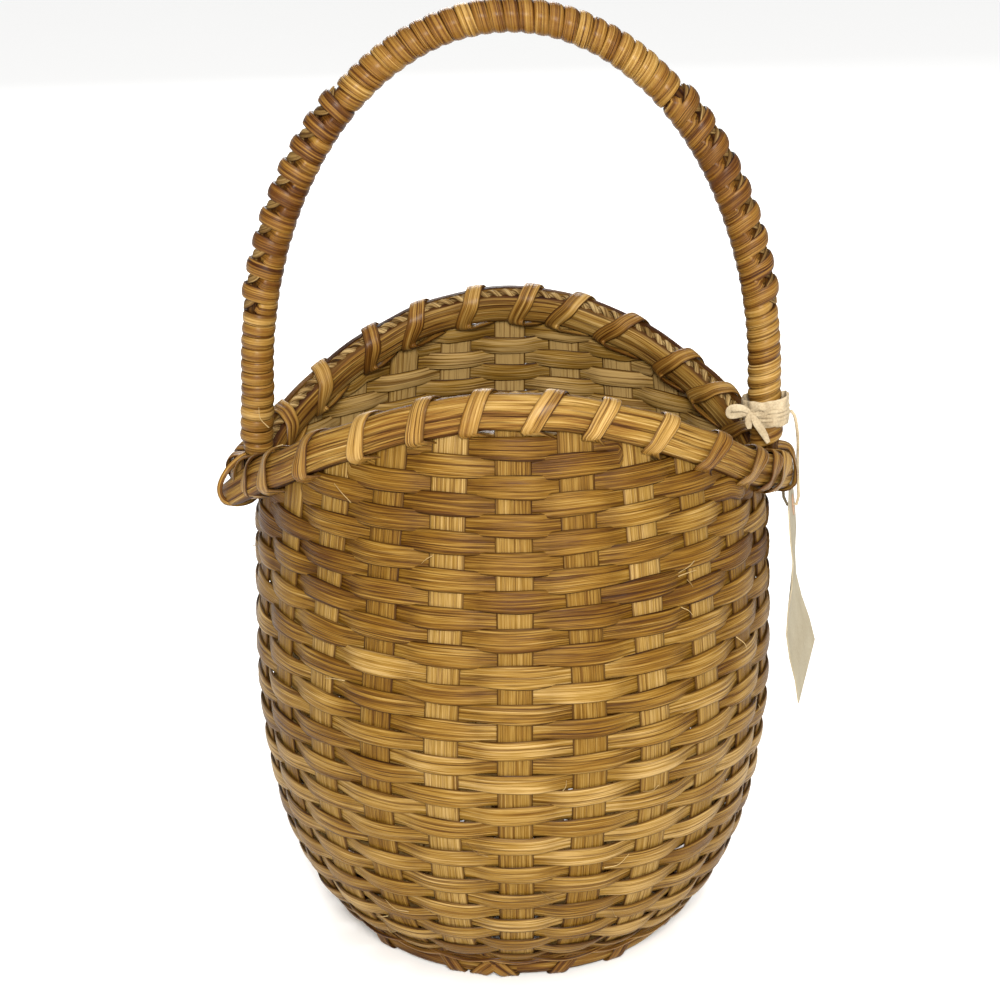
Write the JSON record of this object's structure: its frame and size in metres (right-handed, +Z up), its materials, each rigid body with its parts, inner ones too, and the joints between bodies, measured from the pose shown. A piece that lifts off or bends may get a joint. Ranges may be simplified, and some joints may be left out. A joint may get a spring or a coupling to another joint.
{
  "type": "woven basket",
  "caption": "Round-bellied splint basket on a low foot hoop, with an arched rim, a tall fixed wrapped handle and a blank hang tag.",
  "frame": {"origin": "middle of the foot, on the surface the basket stands on", "axes": "+Z up; -Y is the front, as pictured; the handle stands in the XZ plane with its legs at +X and -X; the tag hangs at +X"},
  "size_m": [0.2552, 0.2326, 0.3967],
  "materials": {
    "stake_splint": "satin stained ash splint with straight grain",
    "weaver_splint": "satin stained flat reed with fine streaks",
    "hoop_wood": "satin stained and varnished",
    "binding_cane": "glossy stained cane",
    "seagrass_rope": "matte twisted grass rope",
    "cotton_string": "matte cream twisted string",
    "tag_paper": "matte cream card, blank",
    "patch_paper": "matte pinkish paper ring"
  },
  "bodies": {
    "basket": {"weaver_01": "weaver_splint", "weaver_02": "weaver_splint", "weaver_03": "weaver_splint", "weaver_04": "weaver_splint", "weaver_05": "weaver_splint", "weaver_06": "weaver_splint", "weaver_07": "weaver_splint", "weaver_08": "weaver_splint", "weaver_09": "weaver_splint", "weaver_10": "weaver_splint", "weaver_11": "weaver_splint", "weaver_12": "weaver_splint", "weaver_13": "weaver_splint", "weaver_14": "weaver_splint", "weaver_15": "weaver_splint", "weaver_16": "weaver_splint", "weaver_17": "weaver_splint", "weaver_18": "weaver_splint", "weaver_19": "weaver_splint", "weaver_20": "weaver_splint", "weaver_21": "weaver_splint", "weaver_22": "weaver_splint", "weaver_23": "weaver_splint", "weaver_24": "weaver_splint", "weaver_25": "weaver_splint", "packing_front": "weaver_splint", "packing_back": "weaver_splint", "spoke_front_1": "stake_splint", "spoke_front_2": "stake_splint", "spoke_front_3": "stake_splint", "spoke_front_4": "stake_splint", "spoke_front_5": "stake_splint", "spoke_front_6": "stake_splint", "spoke_front_7": "stake_splint", "spoke_side_1": "stake_splint", "spoke_side_2": "stake_splint", "spoke_side_3": "stake_splint", "spoke_side_4": "stake_splint", "spoke_side_5": "stake_splint", "rim_outer": "hoop_wood", "rim_inner": "hoop_wood", "handle_core": "hoop_wood", "foot_hoop": "hoop_wood", "rim_lashing": "binding_cane", "wrap_crown": "binding_cane", "wrap_flank_left": "binding_cane", "wrap_flank_right": "binding_cane", "wrap_leg_left": "binding_cane", "wrap_leg_right": "binding_cane", "foot_lashing": "binding_cane", "foot_twine": "binding_cane", "rim_filler_front": "seagrass_rope", "rim_filler_back": "seagrass_rope", "string_tie": "cotton_string"},
    "tag": {"tag_card": "tag_paper", "tag_patch": "patch_paper", "tag_string": "cotton_string"}
  },
  "joints": [
    {"name": "tag_swing", "type": "hinge", "parent": "basket", "child": "tag", "pos_m": [0.1161, 0, 0.226], "axis": [0, -1, 0], "range_deg": [0, 80]}
  ]
}
